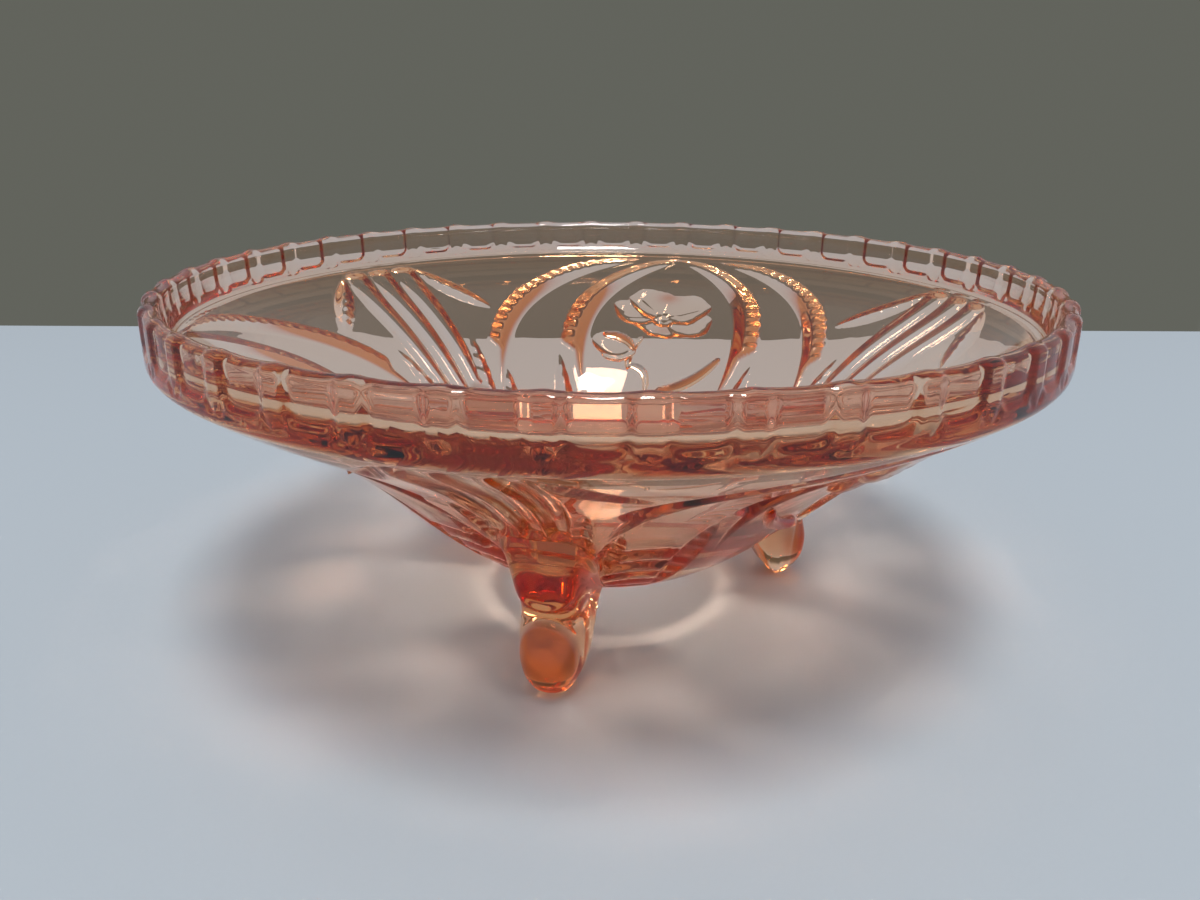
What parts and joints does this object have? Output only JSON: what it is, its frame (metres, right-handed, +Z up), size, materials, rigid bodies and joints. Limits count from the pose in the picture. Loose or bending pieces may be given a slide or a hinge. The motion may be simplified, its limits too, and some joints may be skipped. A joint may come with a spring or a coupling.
{
  "type": "footed glass dish",
  "caption": "Wide shallow pressed-glass dish on three scroll feet, with a tablet rim, fans of cut blades and raised flower sprigs outside.",
  "frame": {"origin": "on the table at the middle of the dish, under the axis of the bowl", "axes": "+Z up along the bowl's axis, -Y towards the front foot, +X to the right as seen from the front foot"},
  "size_m": [0.22, 0.22, 0.09],
  "materials": {
    "pink_glass": "clear salmon-pink, fire-polished"
  },
  "bodies": {
    "root": {"rim_band": "pink_glass", "bowl_wall": "pink_glass", "base_disc": "pink_glass", "foot_front": "pink_glass", "foot_right": "pink_glass", "foot_left": "pink_glass", "sprig_back": "pink_glass", "sprig_right": "pink_glass", "sprig_left": "pink_glass"}
  },
  "joints": []
}
